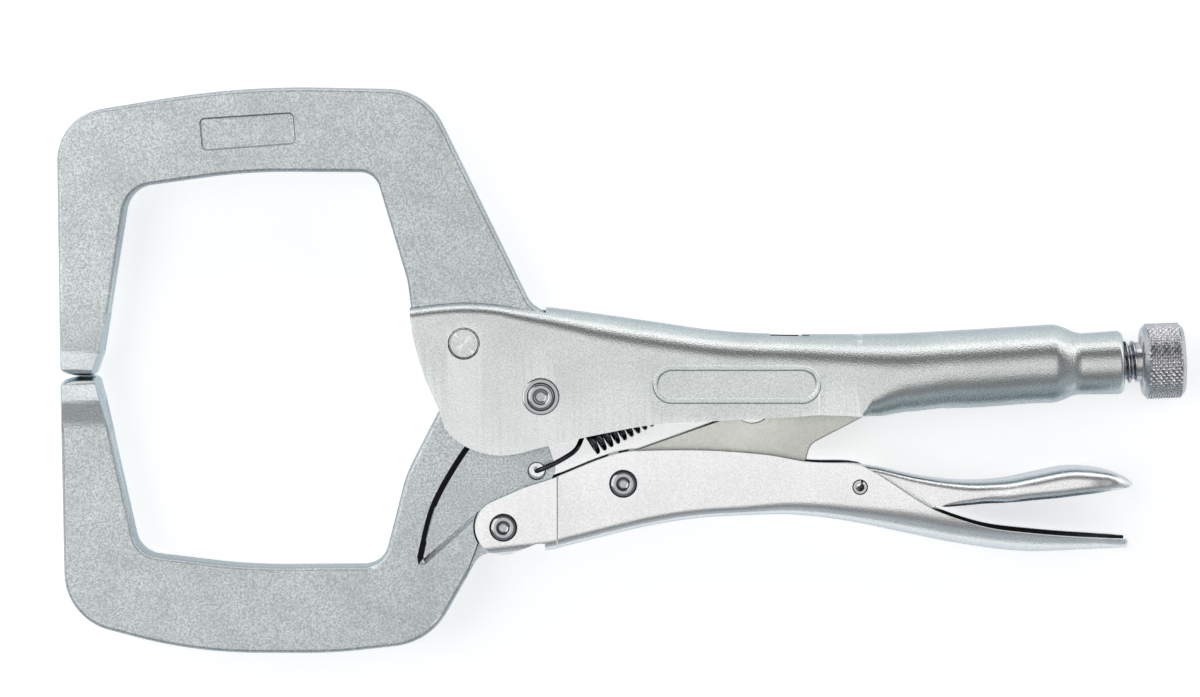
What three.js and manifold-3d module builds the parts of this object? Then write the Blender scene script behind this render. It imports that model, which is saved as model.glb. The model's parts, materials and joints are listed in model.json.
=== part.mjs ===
// Locking C clamp, 280 mm long, lying on its side: two forged C jaws, a folded upper handle that holds
// the fixed jaw and the adjusting screw, and a lower handle, toggle link and release lever.
// Millimetres. +X runs from the jaw tips to the knob, +Y from the moving jaw to the fixed jaw,
// +Z up from the table. The pieces are drawn about the main pivot, on the clamp's middle plane, and the
// whole group is then set down so that its origin is the centre of its box, on the table.
import * as THREE from "three";
import { mergeVertices } from "three/addons/utils/BufferGeometryUtils.js";
import Module from "manifold-3d";

const wasm = await Module();
wasm.setup();

// ---- driving dimensions ----
const GAP = 0.3; // left between pieces that touch
const PIN_CLEARANCE = 0.1; // all round a rivet or pin in its hole
const CHORD = 0.07; // how far an arc's straight steps may stray from it
const SLIVER = 0.02; // facets narrower than this are merged away
const ARM_HALF = 5.3; // half thickness of the forged jaws
const ARM_DRAFT = 0.7; // the forged sides lean in this much
const ARM_DRAFT_DEPTH = 2.2;
const RECESS_HALF = 3.7; // half thickness of the moving jaw inside its recess
const PAD_HALF = 7.5; // half width of the flared jaw pads
const SHEET = 2.1; // handle sheet
const LEVER_SHEET = 1.7;
const HANDLE_HALF = 7.7; // half width over the upper handle's flat cheeks
const TUBE_HALF = 9.85; // half width of the closed tube
const EAR_HALF = 6.1; // half width over the lower handle's ears
const WAIST_HALF = 5.2; // and over its walls behind the crease
const LINK_HALF = 2.7;
const HUB_RADIUS = 12.5; // moving jaw round the main pivot
const HUB_CLEARANCE = 0.7; // fixed jaw's tang round the hub
const EAR_RADIUS = 7.0; // lower handle round the front pivot
const LUG_RADIUS = 6.75; // moving jaw round the front pivot
const NOSE_RADIUS = 5.0; // toggle link's end
const JAW_RIVET = { x: -19.1, y: 13.2, radius: 3.9 };
const FRONT_PIVOT = { x: -9.4, y: -32.85 };
const LINK_PIVOT = { x: 20.5, y: -21.95 };
const LINK_NOSE = { x: 82.5, y: 1.2 };
const RELEASE_PIVOT = { x: 79.5, y: -22.7 };
const RIVET = { shank: 2.6, head: 3.5, rise: 0.95, dimple: 0.45 };
const MAIN_RIVET = { shank: 4.0, head: 4.6, rise: 1.2, dimple: 0.5 };
const RELEASE_PIN = { radius: 1.8, bore: 0.8 };
const SPRING_HOLE = { x: -1.1, y: -18.9, radius: 2.0 };
const SPRING_ANCHOR = { x: 58.4, y: 11.1 };
const SPRING_COIL = { radius: 3.5, wire: 0.62, start: 14.7, end: 58.5 };
const SCREW_TILT = THREE.MathUtils.degToRad(2.2); // screw axis above +X
const SCREW_FOOT = { x: 139.9, y: 7.85 }; // a point on that axis, inside the collar
const THREAD_RADIUS = 5.4;
const COLLAR = { from: 132.6, to: 145.2, radius: 7.95, bore: 5.85 };
const SCREW_TIP_X = 94.5;
const NECK = { from: 148.4, radius: 5.0 };
const KNOB = { from: 150.2, to: 160.4, radius: 9.5, chamfer: 1.2 };

// ---- solids ----
function solid(geometry) {
  const bare = geometry.index ? geometry.toNonIndexed() : geometry.clone();
  for (const name of Object.keys(bare.attributes)) {
    if (name !== "position") bare.deleteAttribute(name);
  }
  const merged = mergeVertices(bare, 1e-4);
  return new wasm.Manifold(
    new wasm.Mesh({
      numProp: 3,
      vertProperties: merged.attributes.position.array,
      triVerts: new Uint32Array(merged.index.array),
    }),
  );
}

function surface(body) {
  const mesh = body.getMesh();
  const geometry = new THREE.BufferGeometry();
  geometry.setAttribute("position", new THREE.BufferAttribute(mesh.vertProperties, 3));
  geometry.setIndex(new THREE.BufferAttribute(mesh.triVerts, 1));
  const faceted = geometry.toNonIndexed();
  faceted.computeVertexNormals();
  return faceted;
}

function joined(...bodies) {
  return bodies.reduce((a, b) => a.add(b));
}

// Points of a polygon whose corners [x, y, radius] are filleted with arcs.
function outline(corners) {
  const points = [];
  corners.forEach(([x, y, radius = 0], i) => {
    const corner = new THREE.Vector2(x, y);
    if (!radius) {
      points.push(corner);
      return;
    }
    const before = corners[(i + corners.length - 1) % corners.length];
    const after = corners[(i + 1) % corners.length];
    const back = new THREE.Vector2(before[0], before[1]).sub(corner).normalize();
    const ahead = new THREE.Vector2(after[0], after[1]).sub(corner).normalize();
    const half = Math.acos(THREE.MathUtils.clamp(back.dot(ahead), -1, 1)) / 2;
    const middle = back.clone().add(ahead).normalize();
    const centre = corner.clone().addScaledVector(middle, radius / Math.sin(half));
    const first = corner.clone().addScaledVector(back, radius / Math.tan(half)).sub(centre);
    const last = corner.clone().addScaledVector(ahead, radius / Math.tan(half)).sub(centre);
    const turn = Math.PI - 2 * half;
    const way = Math.sign(first.cross(last)) || 1;
    const count = Math.max(2, Math.ceil(turn / (2 * Math.acos(1 - CHORD / Math.max(radius, 0.2)))));
    for (let k = 0; k <= count; k++) {
      const arm = first.clone().rotateAround(new THREE.Vector2(), (way * turn * k) / count);
      points.push(centre.clone().add(arm));
    }
  });
  return points.filter((p, i) => p.distanceTo(points[(i + 1) % points.length]) > 0.02);
}

// Points on a smooth curve through a few chosen ones.
function smooth(points, count) {
  return new THREE.SplineCurve(points.map(([x, y]) => new THREE.Vector2(x, y))).getPoints(count);
}

function plate(points, half, centreZ = 0) {
  const geometry = new THREE.ExtrudeGeometry(new THREE.Shape(points), {
    depth: 2 * half,
    bevelEnabled: false,
  });
  return solid(geometry.translate(0, 0, centreZ - half));
}

// A forged plate, widest at its middle plane, whose edges lean in towards both faces.
function forging(points, half) {
  const geometry = new THREE.ExtrudeGeometry(new THREE.Shape(points), {
    depth: 2 * (half - ARM_DRAFT_DEPTH),
    bevelEnabled: true,
    bevelThickness: ARM_DRAFT_DEPTH,
    bevelSize: ARM_DRAFT,
    bevelOffset: -ARM_DRAFT,
    bevelSegments: 1,
  });
  return solid(geometry.translate(0, 0, ARM_DRAFT_DEPTH - half));
}

// A solid turned about a line through (x, y) along Z: profile is [radius, z] from the axis to the axis.
function turned(profile, x, y, segments = 32) {
  const geometry = new THREE.LatheGeometry(
    profile.map(([radius, z]) => new THREE.Vector2(radius, z)),
    segments,
  );
  return solid(geometry.rotateX(Math.PI / 2).translate(x, y, 0));
}

function rod(x, y, radius, half, segments = 32) {
  return turned([[0, -half], [radius, -half], [radius, half], [0, half]], x, y, segments);
}

// The same, about the screw's tilted axis: profile is [radius, x along the axis].
function turnedOnScrew(profile, segments = 32) {
  const geometry = new THREE.LatheGeometry(
    profile.map(([radius, x]) => new THREE.Vector2(radius, x - SCREW_FOOT.x)),
    segments,
  );
  geometry.rotateZ(SCREW_TILT - Math.PI / 2);
  return solid(geometry.translate(SCREW_FOOT.x, SCREW_FOOT.y, 0));
}

// A box given by its low and high corners.
function block(low, high) {
  const size = high.map((v, i) => v - low[i]);
  const geometry = new THREE.BoxGeometry(...size);
  return solid(geometry.translate(...low.map((v, i) => v + size[i] / 2)));
}

// One closed section in the YZ plane: a rectangle with rounded top and bottom corners.
// top and bottom are its Y limits, half its half width, crown and foot its corner sizes.
function section(top, bottom, half, crown, foot, steps = 4) {
  const limitY = (top - bottom) / 2 - 0.02;
  const limitZ = half - 0.02;
  const quarter = (y, z, corner, from) => {
    const ry = Math.min(corner, limitY);
    const rz = Math.min(corner, limitZ);
    const points = [];
    for (let k = 0; k <= steps; k++) {
      const angle = from + (Math.PI / 2) * (k / steps);
      const offsetY = Math.sin(angle) - Math.sign(y);
      const offsetZ = Math.cos(angle) - Math.sign(z);
      points.push([ry * offsetY, rz * offsetZ]);
    }
    return points;
  };
  const place = (list, y, z) => list.map(([dy, dz]) => [y + dy, z + dz]);
  return [
    ...place(quarter(1, 1, crown, 0), top, half),
    ...place(quarter(1, -1, crown, Math.PI / 2), top, -half),
    ...place(quarter(-1, -1, foot, Math.PI), bottom, -half),
    ...place(quarter(-1, 1, foot, 1.5 * Math.PI), bottom, half),
  ];
}

// A closed skin over sections [x, ring] that all have the same number of points.
function loft(sections) {
  const count = sections[0][1].length;
  const positions = [];
  for (const [x, ring] of sections) {
    for (const [y, z] of ring) positions.push(x, y, z);
  }
  const index = [];
  for (let s = 0; s + 1 < sections.length; s++) {
    for (let k = 0; k < count; k++) {
      const a = s * count + k;
      const b = s * count + ((k + 1) % count);
      index.push(a, a + count, b, b, a + count, b + count);
    }
  }
  const last = (sections.length - 1) * count;
  for (let k = 1; k + 1 < count; k++) {
    index.push(0, k, k + 1);
    index.push(last, last + k + 1, last + k);
  }
  const geometry = new THREE.BufferGeometry();
  geometry.setAttribute("position", new THREE.Float32BufferAttribute(positions, 3));
  geometry.setIndex(index);
  return solid(geometry);
}

// A value that follows a few [x, value] pairs in straight steps, or smoothly with ease.
function along(pairs, x, ease = false) {
  const next = pairs.findIndex(([at]) => at >= x);
  if (next === 0) return pairs[0][1];
  if (next < 0) return pairs[pairs.length - 1][1];
  const [x0, v0] = pairs[next - 1];
  const [x1, v1] = pairs[next];
  const t = (x - x0) / (x1 - x0);
  return v0 + (v1 - v0) * (ease ? t * t * (3 - 2 * t) : t);
}

// ---- forged jaws ----
// The tip's side faces flare out to the pad and fold in again at its end; along is +1 up, -1 down.
function flaredTip(points, padEnd, flareEnd, direction) {
  const profile = [
    [padEnd, PAD_HALF - 1.8],
    [padEnd + 1.6 * direction, PAD_HALF],
    [padEnd + 6.0 * direction, PAD_HALF],
    [flareEnd, ARM_HALF - 0.3],
  ];
  const right = profile.map(([y, z]) => new THREE.Vector2(y, z));
  const left = profile.map(([y, z]) => new THREE.Vector2(y, -z)).reverse();
  const geometry = new THREE.ExtrudeGeometry(new THREE.Shape([...right, ...left]), {
    depth: 20,
    bevelEnabled: false,
  });
  const wedge = new THREE.Matrix4().makeBasis(
    new THREE.Vector3(0, 1, 0),
    new THREE.Vector3(0, 0, 1),
    new THREE.Vector3(1, 0, 0),
  );
  geometry.applyMatrix4(wedge).translate(-125, 0, 0);
  return solid(geometry).intersect(plate(points, 2 * PAD_HALF));
}

function fixedJaw() {
  const tang = HUB_RADIUS + HUB_CLEARANCE;
  const points = outline([
    [-119.9, 5.9, 1.5],
    [-116.3, 4.95, 3],
    [-111.2, 4.95, 1.5],
    [-109.2, 10.5, 8],
    [-102.5, 51.6, 7.5],
    [-73.2, 55.7, 150],
    [-41.3, 55.5, 5],
    [-33.3, 28.5, 20],
    [-31.9, 17.0, 20],
    [-26.1, -2.9, 0.8],
    [-4.45, tang, tang],
    [10.5, tang, 0],
    [10.5, 15.4, 0],
    [0.9, 17.2, 0],
    [0.9, 20.7, 0],
    [-2.6, 23.0, 5],
    [-28.6, 76.2, 15.3],
    [-74.5, 77.1, 220],
    [-120.35, 69.6, 13],
  ]);
  const panel = plate(
    outline([
      [-84.6, 68.9, 1],
      [-61.5, 70.4, 1],
      [-60.9, 62.8, 1],
      [-83.9, 61.1, 1],
    ]),
    1,
    ARM_HALF + 0.7,
  );
  return forging(points, ARM_HALF)
    .add(flaredTip(points, 4.9, 20.4, 1))
    .subtract(panel)
    .subtract(rod(JAW_RIVET.x, JAW_RIVET.y, JAW_RIVET.radius + PIN_CLEARANCE, 20));
}

function movingJaw() {
  const lugFoot = FRONT_PIVOT.y - LUG_RADIUS;
  const points = outline([
    [-119.9, 3.6, 2],
    [-119.1, -56, 15],
    [-86.4, -64.6, 120],
    [-52, -64.7, 120],
    [-27.8, -62, 17],
    [-15.1, lugFoot, 5],
    [-3.0, lugFoot, 6],
    [-2.4, -31, 3],
    [3.8, -18.8, 3],
    [1.5, -11.8, 0],
    [-1, -2, 0],
    [-7.4, 9.5, 0],
    [-25.4, -3.6, 1.2],
    [-33.8, -20, 30],
    [-39.6, -42.7, 6.5],
    [-73, -42.9, 150],
    [-100.5, -39.6, 6.5],
    [-108.9, -1, 12],
    [-110.4, 4.65, 1.5],
    [-115.5, 4.65, 3],
  ].reverse());
  const straight = ARM_HALF - ARM_DRAFT_DEPTH;
  const hub = turned([
    [0, -ARM_HALF],
    [HUB_RADIUS - ARM_DRAFT, -ARM_HALF],
    [HUB_RADIUS, -straight],
    [HUB_RADIUS, straight],
    [HUB_RADIUS - ARM_DRAFT, ARM_HALF],
    [0, ARM_HALF],
  ], 0, 0, 48);
  return forging(points, ARM_HALF)
    .add(hub)
    .add(flaredTip(points, 4.7, -9.2, -1))
    .subtract(joined(jawRecess(1), jawRecess(-1)))
    .subtract(rod(0, 0, MAIN_RIVET.shank + PIN_CLEARANCE, 20))
    .subtract(rod(FRONT_PIVOT.x, FRONT_PIVOT.y, RIVET.shank + PIN_CLEARANCE, 20))
    .subtract(rod(SPRING_HOLE.x, SPRING_HOLE.y, SPRING_HOLE.radius, 20, 24));
}

// The hollow in each side of the moving jaw, from an arc across the arm to the hub, which also takes
// the lower handle's ear as it swings round the front pivot.
function jawRecess(side) {
  const depth = 4;
  const arc = smooth([[-15.6, -9.2], [-21.3, -15.9], [-27.6, -27.4], [-30.9, -40.2]], 10);
  const hollow = [
    ...arc,
    ...outline([[-30.3, -42.0, 0], [-28.2, -41.4, 0], [-15.6, -29.4, 0], [12, -29.4, 0], [12, -9.2, 0]]),
  ];
  const sweep = outline([[-9.4, -35.8, 0], [-15.8, -36.6, 0], [-19.2, -45.5, 0], [-19.2, -52, 0], [12, -52, 0],
    [12, -26, 0], [-9.4, -26, 0]]);
  const z = side * (RECESS_HALF + depth);
  return joined(
    plate(hollow, depth, z),
    plate(sweep, depth, z),
    turned(
      [[0, -depth], [EAR_RADIUS + 0.35, -depth], [EAR_RADIUS + 0.35, depth], [0, depth]],
      FRONT_PIVOT.x,
      FRONT_PIVOT.y,
      40,
    ).translate([0, 0, z]),
  );
}

// ---- upper handle ----
const ROOF = [[-36, 21.9], [-19, 23.6], [-4, 22.3], [8, 21.1], [26, 18.6], [44, 16.1], [60, 15.3],
  [86, 15.3], [104, 16.15], [127.7, 17.6]];
const TUBE_FLOOR = [[79, -4.9], [84.5, -5.2], [91, -4.4], [104, -3.4], [127.7, -2.1]];
const HANDLE_WIDTH = [[-36, HANDLE_HALF], [58, HANDLE_HALF], [90, TUBE_HALF]];
const ROOF_CORNER = [[-36, 3.4], [-10, 3.6], [14, 7.2], [24, 7.7], [58, 7.7], [90, 9.9]];
const TUBE_FOOT = [[79, 0.3], [80.2, 0.8], [82.2, 5.0], [86, 7.4], [91, 8.8], [104, 9.9]];
const roofCurve = new THREE.SplineCurve(ROOF.map(([x, y]) => new THREE.Vector2(x, y)));
const roofPoints = roofCurve.getPoints(60).map((p) => [p.x, p.y]);
const MOUTH_X = 79.8; // the open channel ends and the closed tube begins
const ROOF_FRONT_X = 1.2; // the roof's front edge, behind the fixed jaw
const CONE = [[127.7, 0], [130.7, 0.8], [133.6, 2.0], [134.4, 2.1]]; // how far the tube necks in

function handleSections(places, inset, floor) {
  return places.map((x) => {
    const neck = along(CONE, x);
    const top = along(roofPoints, x) - inset - neck;
    const bottom = floor === undefined ? along(TUBE_FLOOR, x, true) + inset + neck : floor;
    const half = along(HANDLE_WIDTH, x, true) - inset - neck;
    const crown = Math.max(0.5, along(ROOF_CORNER, x) - inset);
    const foot = floor === undefined ? Math.max(0.3, along(TUBE_FOOT, x) - inset) : 0.1;
    return [x, section(top, bottom, half, crown, foot)];
  });
}

function upperHandle() {
  const front = [-36, -26, -18, -10, -4, 2, 8, 14, 20, 28, 36, 44, 52, 60, 68, 74, MOUTH_X + 0.2];
  const rear = [MOUTH_X, 81, 82.2, 84, 86, 88.5, 91, 95, 104, 116, 127.7, 130.7, 133.6, 134.4];
  const side = [
    ...smooth([[-32.6, 21.5], [-31.8, 15.1], [-29, 5.1], [-25.6, -2.6], [-23.6, -8.2], [-18.8, -12.4],
      [-12.4, -14.5], [-6.5, -14.4], [1.4, -12.4], [14.7, -9.4], [28.9, -6.9], [43.4, -6.1],
      [62.4, -5.1], [70, -4.6], [82, -5.0]], 44),
    new THREE.Vector2(82, 40),
    new THREE.Vector2(-32.6, 40),
  ];
  const channel = loft(handleSections(front, 0, -30)).intersect(plate(side, 20));
  const tube = loft(handleSections(rear, 0));
  const collar = turnedOnScrew([
    [0, COLLAR.from],
    [COLLAR.radius - 0.2, COLLAR.from],
    [COLLAR.radius, COLLAR.to - 1],
    [COLLAR.radius - 0.8, COLLAR.to],
    [0, COLLAR.to],
  ]);
  const channelHollow = loft(
    handleSections([ROOF_FRONT_X - 0.2, 8, 14, 20, 28, 36, 44, 52, 60, 68, 74, MOUTH_X], SHEET, -30),
  );
  const tubeHollow = loft(
    handleSections([MOUTH_X - 0.2, 81, 82.2, 84, 86, 88.5, 91, 95, 104, 116, 127, 130, 132], SHEET),
  );
  const jawSlot = block([-60, -60, -ARM_HALF - GAP], [ROOF_FRONT_X, 60, ARM_HALF + GAP]);
  const linkSlot = plate(
    outline([[70, -12, 0], [101, -12, 0], [101, 1, 0], [70, 1, 0]]),
    LINK_HALF + 0.5,
  );
  const bore = turnedOnScrew([[0, 125], [COLLAR.bore, 125], [COLLAR.bore, 150], [0, 150]]);
  return joined(channel, tube, collar)
    .subtract(channelHollow)
    .subtract(tubeHollow)
    .subtract(jawSlot)
    .subtract(linkSlot)
    .subtract(bore)
    .subtract(block([57.2, 8, -2.6], [65.5, 20, 2.6]))
    .add(springTongue())
    .subtract(rod(0, 0, MAIN_RIVET.shank + PIN_CLEARANCE, 20))
    .subtract(rod(JAW_RIVET.x, JAW_RIVET.y, JAW_RIVET.radius + PIN_CLEARANCE, 20));
}

// A tongue cut free in the roof and bent down inside, which the spring's rear hook holds on to.
function springTongue() {
  const points = outline([
    [67, 15.0, 0],
    [64.4, 15.0, 2.2],
    [60.2, 8.4, 0.6],
    [62.0, 7.4, 0.6],
    [65.6, 12.9, 2],
    [67, 12.9, 0],
  ]);
  return plate(points, 2.3);
}

// ---- lower handle ----
const PALM = [[-18, -41], [0.9, -38.9], [4.7, -38.2], [16.7, -35.15], [28.7, -32.4], [40.7, -30.7],
  [55.7, -30.0], [64.7, -30.15], [76.7, -31.65], [94.7, -35.4], [106.7, -37.65], [121, -39.2],
  [136.7, -38.5], [146.4, -38.0]];
const PALM_WIDTH = [[-18, EAR_HALF], [4.2, EAR_HALF], [9, WAIST_HALF], [58, WAIST_HALF], [80, 6.3],
  [100, 8.3], [120, 9.4], [136, 9.0], [142, 8.0], [145.5, 6.4], [146.4, 5.4]];
const PALM_FOOT = [[-18, 3], [50, 3.0], [76, 5], [95, 7.5], [120, 8.6], [140, 5], [146.4, 2]];
const WEB_FRONT_X = 1.0; // the fold that joins the two walls starts here
const palmPoints = smooth(PALM, 56).map((p) => [p.x, p.y]);

function palmSections(places, inset, top) {
  return places.map((x) => {
    const half = along(PALM_WIDTH, x, true) - inset;
    const foot = Math.max(0.4, along(PALM_FOOT, x) - inset);
    return [x, section(top, along(palmPoints, x) + inset, half, 0.1, foot)];
  });
}

function lowerHandle() {
  const places = [-18, 4.2, 6.6, 9, 16, 24, 34, 46, 58, 68, 76, 84, 92, 100, 108, 116, 124, 132, 138,
    142, 145.5, 146.4];
  const edge = smooth([[-4.2, -22.9], [4.2, -20.15], [13.4, -16.4], [19.7, -14.4], [26, -13.75],
    [41.4, -13.7], [56.2, -14.8], [67, -16.6], [77.7, -17.0], [83.3, -19.2], [93.8, -26.0],
    [98.6, -28.6], [106, -31.3], [113, -33.1], [122.4, -34.2], [132.1, -35.0], [148, -35.9]], 48);
  const side = [
    ...edge,
    new THREE.Vector2(148, -50),
    new THREE.Vector2(WEB_FRONT_X, -50),
    ...smooth([[WEB_FRONT_X, -36.9], [-1.2, -37.0], [-3.6, -38.0]], 4),
    ...earArc(-56, -245, 16),
  ];
  const walls = loft(palmSections(places, 0, -5)).intersect(plate(side, 20));
  const hollow = loft(
    palmSections([-20, 4.2, 6.6, 9, 16, 24, 34, 46, 58, 68, 76, 84, 92, 100, 108, 116, 124, 132, 138,
      142, 144.4], SHEET, 0),
  );
  const earGap = block([-30, -60, SHEET - EAR_HALF], [WEB_FRONT_X, 0, EAR_HALF - SHEET]);
  return walls
    .subtract(hollow)
    .subtract(earGap)
    .subtract(block([140, -37, -SHEET * 2], [150, -30, SHEET * 2]))
    .subtract(rod(FRONT_PIVOT.x, FRONT_PIVOT.y, RIVET.shank + PIN_CLEARANCE, 20))
    .subtract(rod(LINK_PIVOT.x, LINK_PIVOT.y, RIVET.shank + PIN_CLEARANCE, 20))
    .subtract(rod(RELEASE_PIVOT.x, RELEASE_PIVOT.y, RELEASE_PIN.radius + PIN_CLEARANCE, 20, 20));
}

// Points round the front pivot on the ear's radius, between two angles in degrees.
function earArc(from, to, count) {
  const points = [];
  for (let k = 0; k <= count; k++) {
    const angle = THREE.MathUtils.degToRad(from + ((to - from) * k) / count);
    const x = FRONT_PIVOT.x + EAR_RADIUS * Math.cos(angle);
    points.push(new THREE.Vector2(x, FRONT_PIVOT.y + EAR_RADIUS * Math.sin(angle)));
  }
  return points;
}

// ---- toggle link and release lever ----
function toggleLink() {
  const top = LINK_NOSE.y + NOSE_RADIUS;
  const points = outline([
    [13.9, -17.2, 5],
    [49, -4.7, 2],
    [74, top, 8],
    [LINK_NOSE.x, top, 0],
    [84.9, -3.2, 0],
    [67.3, -12.3, 4],
    [65.5, -18.8, 2],
    [42, -24.6, 30],
    [21, -28.3, 6],
    [13.9, -27.6, 5],
  ].reverse());
  return plate(points, LINK_HALF)
    .add(rod(LINK_NOSE.x, LINK_NOSE.y, NOSE_RADIUS, LINK_HALF, 40))
    .subtract(rod(52.8, -2.2, 5.0, 20, 28))
    .subtract(rod(LINK_PIVOT.x, LINK_PIVOT.y, RIVET.shank + PIN_CLEARANCE, 20));
}

const LEVER_TOP = [[66, -19.4], [74, -17.3], [82.7, -17.9], [94.7, -20.4], [106, -21.6], [115.7, -21.1],
  [123, -19.7], [132, -18.1], [140, -18.7], [145.7, -20.5], [147.7, -22.0]];
const LEVER_WIDTH = [[66, 3.1], [84, 3.8], [92, 4.3], [100, 4.9], [108, 5.8], [124, 8.2], [136, 8.2],
  [143, 7.0], [146.6, 4.8], [147.7, 3.4]];
const LEVER_CROWN = [[66, 1.6], [84, 1.6], [100, 2.6], [116, 4], [136, 4], [147.7, 1.6]];
const leverPoints = smooth(LEVER_TOP, 40).map((p) => [p.x, p.y]);

function leverSections(places, inset) {
  return places.map((x) => {
    const half = along(LEVER_WIDTH, x, true) - inset;
    const crown = Math.max(0.3, along(LEVER_CROWN, x) - inset);
    return [x, section(along(leverPoints, x) - inset, -40, half, crown, 0.1)];
  });
}

function releaseLever() {
  const places = [66, 70, 74, 79, 84, 88, 92, 96, 100, 106, 112, 118, 124, 130, 136, 140, 143, 146.6, 147.7];
  const side = [
    ...outline([
      [147.9, -10, 0],
      [66.8, -10, 0],
      [66.8, -24.4, 2],
      [76, -27.0, 3],
      [97, -28.2, 10],
    ]),
    ...smooth([[101.4, -27.9], [115.7, -26.65], [127.7, -25.65], [139.7, -24.15], [147.9, -22.6]], 8),
  ];
  const skin = loft(leverSections(places, 0)).intersect(plate(side, 20));
  const hollow = loft(
    leverSections([60, 70, 74, 79, 84, 88, 92, 96, 100, 106, 112, 118, 124, 130, 136, 140, 143, 145.4],
      LEVER_SHEET),
  );
  return skin
    .subtract(hollow)
    .subtract(rod(RELEASE_PIVOT.x, RELEASE_PIVOT.y, RELEASE_PIN.radius + PIN_CLEARANCE, 20, 20));
}

// ---- rivets and pin ----
// A shank with the same low dimpled head on both ends; face is the half width under the heads.
function rivet(place, size, face, segments = 32) {
  const under = face + 0.15;
  const top = under + size.rise;
  const half = [
    [size.shank, under],
    [size.head, under],
    [size.head, under + 0.45 * size.rise],
    [0.8 * size.head, top],
    [0.5 * size.head, top],
    [0.3 * size.head, top - size.dimple],
    [0, top - size.dimple],
  ];
  const below = half.map(([radius, z]) => [radius, -z]).reverse();
  return turned([...below, ...half], place.x, place.y, segments);
}

function releasePin() {
  const half = 6.3 + 0.1;
  const { radius, bore } = RELEASE_PIN;
  return turned(
    [[bore, -half], [radius, -half], [radius, half], [bore, half], [bore, -half]],
    RELEASE_PIVOT.x,
    RELEASE_PIVOT.y,
    20,
  );
}

// ---- adjusting screw ----
function screwShank() {
  return turnedOnScrew([
    [0, SCREW_TIP_X],
    [THREAD_RADIUS - 1.2, SCREW_TIP_X],
    [THREAD_RADIUS, SCREW_TIP_X + 1.2],
    [THREAD_RADIUS, NECK.from],
    [NECK.radius, NECK.from],
    [NECK.radius, KNOB.from - GAP],
    [0, KNOB.from - GAP],
  ]);
}

function screwKnob() {
  const { from, to, radius, chamfer } = KNOB;
  return turnedOnScrew([
    [0, from],
    [radius - chamfer, from],
    [radius, from + chamfer],
    [radius, to - chamfer],
    [radius - chamfer, to],
    [0, to],
  ], 40);
}

// ---- spring ----
// The closed outer shape of the coil, with the hook wire that runs to the moving jaw's hole and the
// short loop that runs to the roof's tongue.
function jawSpring() {
  const hole = new THREE.Vector2(SPRING_HOLE.x, SPRING_HOLE.y);
  const run = new THREE.Vector2(SPRING_ANCHOR.x, SPRING_ANCHOR.y).sub(hole);
  const along3 = new THREE.Vector3(run.x, run.y, 0).normalize();
  const at = (s, z = 0) => new THREE.Vector3(hole.x + along3.x * s, hole.y + along3.y * s, z);
  const coil = new THREE.CylinderGeometry(
    SPRING_COIL.radius,
    SPRING_COIL.radius,
    SPRING_COIL.end - SPRING_COIL.start,
    20,
  );
  coil.rotateZ(Math.atan2(run.y, run.x) - Math.PI / 2);
  const middle = at((SPRING_COIL.start + SPRING_COIL.end) / 2);
  coil.translate(middle.x, middle.y, middle.z);
  const side = RECESS_HALF + GAP + 2 * SPRING_COIL.wire;
  return joined(
    solid(coil),
    wire([at(SPRING_COIL.start + 1), at(10.5, 0.6 * side), at(6.6, side), at(2.2, side), at(0.4, 0.75 * side),
      at(0, 0)], 14),
    wire([at(SPRING_COIL.end - 1), at(SPRING_COIL.end + 2.6)], 2),
  );
}

function wire(points, steps) {
  const ring = new THREE.Shape();
  ring.absarc(0, 0, SPRING_COIL.wire, 0, 2 * Math.PI);
  return solid(
    new THREE.ExtrudeGeometry(new THREE.Shape(ring.getPoints(4)), {
      steps,
      extrudePath: new THREE.CatmullRomCurve3(points),
      bevelEnabled: false,
    }),
  );
}

// ---- the clamp ----
const FORGED = { color: 0xb9b7b0, roughness: 0.5, metalness: 0.9 };
const PRESSED = { color: 0xc2c2bd, roughness: 0.35, metalness: 0.95 };
const BRIGHT = { color: 0xcfd0d2, roughness: 0.15, metalness: 1 };
const KNURLED = { color: 0xa9a6a3, roughness: 0.3, metalness: 1 };
const SPRING_STEEL = { color: 0x3a3b40, roughness: 0.35, metalness: 1 };

const pieces = {
  fixed_jaw: [fixedJaw(), FORGED],
  moving_jaw: [movingJaw(), FORGED],
  upper_handle: [upperHandle(), PRESSED],
  lower_handle: [lowerHandle(), PRESSED],
  toggle_link: [toggleLink(), FORGED],
  release_lever: [releaseLever(), BRIGHT],
  main_pivot_rivet: [rivet({ x: 0, y: 0 }, MAIN_RIVET, HANDLE_HALF, 36), BRIGHT],
  fixed_jaw_rivet: [rod(JAW_RIVET.x, JAW_RIVET.y, JAW_RIVET.radius, HANDLE_HALF - 0.15), PRESSED],
  front_rivet: [rivet(FRONT_PIVOT, RIVET, EAR_HALF, 28), BRIGHT],
  link_rivet: [rivet(LINK_PIVOT, RIVET, WAIST_HALF, 28), BRIGHT],
  release_pin: [releasePin(), BRIGHT],
  adjusting_screw: [screwShank(), KNURLED],
  screw_knob: [screwKnob(), KNURLED],
  jaw_spring: [jawSpring(), SPRING_STEEL],
};

const clamp = new THREE.Group();
for (const [name, [body, finish]] of Object.entries(pieces)) {
  const mesh = new THREE.Mesh(surface(body.simplify(SLIVER)), new THREE.MeshStandardMaterial(finish));
  mesh.name = name;
  clamp.add(mesh);
}

// Set down: the middle of the box over the origin, its underside at Z = 0.
const box = new THREE.Box3().setFromObject(clamp);
const middle = box.getCenter(new THREE.Vector3());
clamp.children.forEach((mesh) => mesh.position.set(-middle.x, -middle.y, -box.min.z));

export default clamp;
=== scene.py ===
"""Locking C clamp: the looks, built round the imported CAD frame."""
import json
import math

import bmesh
import bpy
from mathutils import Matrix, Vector
from mathutils.bvhtree import BVHTree

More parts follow.
